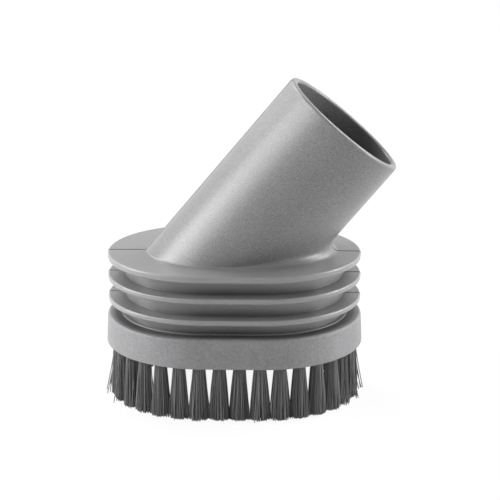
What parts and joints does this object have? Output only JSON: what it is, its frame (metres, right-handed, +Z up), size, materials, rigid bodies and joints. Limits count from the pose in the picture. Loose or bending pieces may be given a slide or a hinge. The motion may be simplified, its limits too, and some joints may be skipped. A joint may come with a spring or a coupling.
{
  "type": "vacuum brush tool",
  "caption": "Dusting brush head for a vacuum wand: oblique round socket on a finned oval head, with a ring of dark bristle tufts.",
  "frame": {"origin": "middle of the whole part's footprint, at the level of the bristle tips that it stands on", "axes": "+Z up, +X the way the socket tube leans, so the part is symmetric about XZ but for where the tufts start along their row"},
  "size_m": [0.084, 0.0578, 0.0929],
  "materials": {
    "body_grey": "satin moulded polypropylene with a fine spark-eroded grain",
    "ring_grey": "matt moulded polypropylene",
    "bristle": "dark grey drawn filaments, softly glossy"
  },
  "bodies": {
    "root": {"body": "body_grey", "brush_ring": "ring_grey", "tuft_01": "bristle", "tuft_02": "bristle", "tuft_03": "bristle", "tuft_04": "bristle", "tuft_05": "bristle", "tuft_06": "bristle", "tuft_07": "bristle", "tuft_08": "bristle", "tuft_09": "bristle", "tuft_10": "bristle", "tuft_11": "bristle", "tuft_12": "bristle", "tuft_13": "bristle", "tuft_14": "bristle", "tuft_15": "bristle", "tuft_16": "bristle", "tuft_17": "bristle", "tuft_18": "bristle", "tuft_19": "bristle", "tuft_20": "bristle", "tuft_21": "bristle", "tuft_22": "bristle", "tuft_23": "bristle", "tuft_24": "bristle", "tuft_25": "bristle", "tuft_26": "bristle", "tuft_27": "bristle", "tuft_28": "bristle", "tuft_29": "bristle", "tuft_30": "bristle", "tuft_31": "bristle", "tuft_32": "bristle", "tuft_33": "bristle", "tuft_34": "bristle"}
  },
  "joints": []
}
